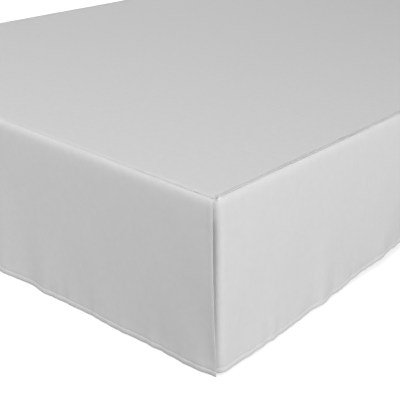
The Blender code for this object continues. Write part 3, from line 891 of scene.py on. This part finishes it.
def sew(name, runs):
    """One mesh of stitches along runs of points that lie on a cloth's outer face."""
    path = bpy.data.meshes.new(name)
    points, edges = [], []
    for run in runs:
        start = len(points)
        points += run.tolist()
        edges += [(start + index, start + index + 1) for index in range(len(run) - 1)]
    path.from_pydata(points, edges, [])
    obj = bpy.data.objects.new(name, path)
    bpy.context.scene.collection.objects.link(obj)
    sewing = obj.modifiers.new("Topstitching", "NODES")
    sewing.node_group = topstitching
    values = {"Stitch Pitch": STITCH_PITCH, "Stitch Length": STITCH_LENGTH,
              "Thread Radius": THREAD_RADIUS, "Unevenness": STITCH_UNEVENNESS, "Thread": thread}
    for label, value in values.items():
        sewing[stitch_inputs[label].identifier] = value
    ready = obj.evaluated_get(bpy.context.evaluated_depsgraph_get())
    plain = bpy.data.meshes.new_from_object(ready)
    obj.modifiers.remove(sewing)
    obj.data = plain
    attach(obj, "root")
    return obj


def hem_run(panel):
    """Points along a panel's bottom hem, between its two end hems."""
    along = np.arange(HEM_BAND, panel.length - HEM_BAND, STITCH_PATH_STEP)
    return panel_points(panel, along, 0.0, np.full(len(along), DROP - HEM_BAND))


def end_run(panel, along):
    """Points down one of a panel's end hems, to its bottom hem."""
    depth = np.arange(END_STITCH_TOP, DROP - HEM_BAND, STITCH_PATH_STEP)
    return panel_points(panel, np.full(len(depth), along), 0.0, depth)


foot_stitches = sew("foot_panel_topstitching", [
    hem_run(foot), end_run(foot, HEM_BAND), end_run(foot, FOOT_LENGTH - HEM_BAND)])
right_stitches = sew("side_panel_right_topstitching", [
    hem_run(right), end_run(right, SIDE_LENGTH - HEM_BAND)])
left_stitches = sew("side_panel_left_topstitching", [
    hem_run(left), end_run(left, SIDE_LENGTH - HEM_BAND)])
span = np.arange(-HEAD_STITCH_REACH, HEAD_STITCH_REACH, STITCH_PATH_STEP)
level = np.full(len(span), BED_MIDDLE + LENGTH / 2 - HEM_BAND)
height = SEAM_HEIGHT + deck_relief(span, level) * 0.5 + stitch_dip(HEM_BAND)
deck_stitches = sew("deck_topstitching", [np.stack([span, level, height], axis=-1)])


# The studio: a plain pale floor that glows a little and so photographs white, six soft boxes
# round the bed, and a camera at the photograph's place.
FLOOR_REACH = 30.0
FLOOR_GLOW = 0.55
SKY_LIGHT = 0.10
CAMERA_PLACE = (1.6062, -1.9730, 0.9768)
CAMERA_FALL = 24.50  # degrees that it looks down
CAMERA_TURN = 42.207  # degrees that it is turned from the bed's length
CAMERA_LENS = 72.14

floor_paint, tree, shader = new_material("studio floor")
shader.inputs["Base Color"].default_value = (0.93, 0.93, 0.93, 1.0)
shader.inputs["Roughness"].default_value = 0.95
shader.inputs["Specular IOR Level"].default_value = 0.1
shader.inputs["Emission Color"].default_value = (1.0, 1.0, 1.0, 1.0)
shader.inputs["Emission Strength"].default_value = FLOOR_GLOW
corners = [(-FLOOR_REACH, -FLOOR_REACH, 0.0), (FLOOR_REACH, -FLOOR_REACH, 0.0),
           (FLOOR_REACH, FLOOR_REACH, 0.0), (-FLOOR_REACH, FLOOR_REACH, 0.0)]
floor = mesh_object("studio_floor", corners, [(0, 1, 2, 3)], floor_paint)
floor.visible_diffuse = False  # the photograph shows no light from below
floor.visible_glossy = False

world = bpy.data.worlds.new("studio")
bpy.context.scene.world = world
world.use_nodes = True
sky = world.node_tree.nodes["Background"]
sky.inputs["Color"].default_value = (1.0, 1.0, 1.0, 1.0)
sky.inputs["Strength"].default_value = SKY_LIGHT

# Name, place, aimed at, width, height, watts
SOFT_BOXES = (
    ("right", (5.2, -1.2, 1.7), (0.7, -0.2, 0.2), 2.6, 2.0, 190.0),
    ("front", (0.7, -3.0, 2.4), (0.4, -1.0, 0.2), 1.8, 1.4, 19.0),
    ("front_low", (1.0, -4.4, 1.4), (0.4, -1.0, 0.2), 2.6, 1.6, 16.0),
    ("front_left", (-3.0, -4.2, 3.0), (0.2, -1.0, 0.2), 2.6, 2.0, 136.0),
    ("top", (0.0, 0.0, 4.4), (0.0, 0.0, 0.3), 4.0, 4.0, 12.0),
    ("back", (-3.6, 4.2, 1.6), (0.0, 0.6, 0.2), 2.6, 2.6, 140.0),
)


def aim(obj, target):
    """Turns a lamp to look at a place."""
    way = [there - here for here, there in zip(obj.location, target)]
    obj.rotation_euler = (math.atan2(math.hypot(way[0], way[1]), -way[2]), 0.0,
                          math.atan2(way[1], way[0]) - math.pi / 2)


for name, place, target, width, height, watts in SOFT_BOXES:
    light = bpy.data.lights.new(name, "AREA")
    light.shape = "RECTANGLE"
    light.size, light.size_y, light.energy = width, height, watts
    lamp = bpy.data.objects.new(name, light)
    lamp.location = place
    aim(lamp, target)
    lamp.visible_camera = False
    bpy.context.scene.collection.objects.link(lamp)

camera = bpy.data.objects.new("camera", bpy.data.cameras.new("camera"))
camera.data.lens = CAMERA_LENS
camera.data.sensor_width = 36.0
camera.location = CAMERA_PLACE
camera.rotation_euler = (math.radians(90.0 - CAMERA_FALL), 0.0, math.radians(CAMERA_TURN))
bpy.context.scene.collection.objects.link(camera)
bpy.context.scene.camera = camera
bpy.context.scene.view_settings.view_transform = "Standard"
